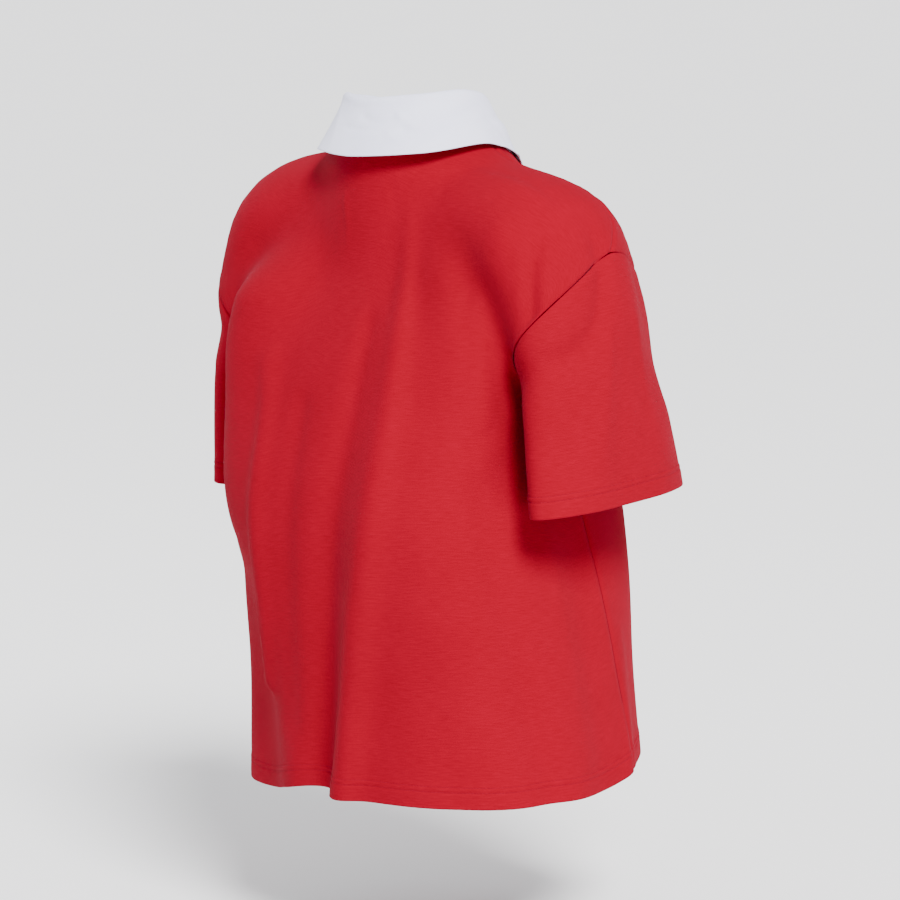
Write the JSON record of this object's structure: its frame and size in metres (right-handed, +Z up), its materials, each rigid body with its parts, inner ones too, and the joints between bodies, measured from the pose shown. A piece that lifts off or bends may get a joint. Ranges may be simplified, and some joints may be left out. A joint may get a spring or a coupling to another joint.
{
  "type": "polo shirt",
  "caption": "Cropped boxy knit polo shirt with drop-shoulder short sleeves, a contrasting turned-down collar and a short front placket, filled out as worn.",
  "frame": {"origin": "middle of the neck opening, level with the top of the shoulders, where the wearer's shoulders and neck hold the shirt", "axes": "+Z up towards the collar; the shirt faces -Y, so +Y is its back; -X is the wearer's right sleeve, +X the left"},
  "size_m": [0.4659, 0.3037, 0.626],
  "materials": {
    "red_knit": "matte heavy double knit",
    "white_woven": "smooth matte woven cotton",
    "white_plastic": "plain semi-gloss"
  },
  "bodies": {
    "root": {"back_panel": "red_knit", "front_panel": "red_knit", "sleeve_right": "red_knit", "sleeve_left": "red_knit", "placket_top": "red_knit", "placket_under": "red_knit", "collar_stand": "white_woven", "collar_leaf": "white_woven", "button_1": "white_plastic", "button_2": "white_plastic", "button_3": "white_plastic"}
  },
  "joints": []
}
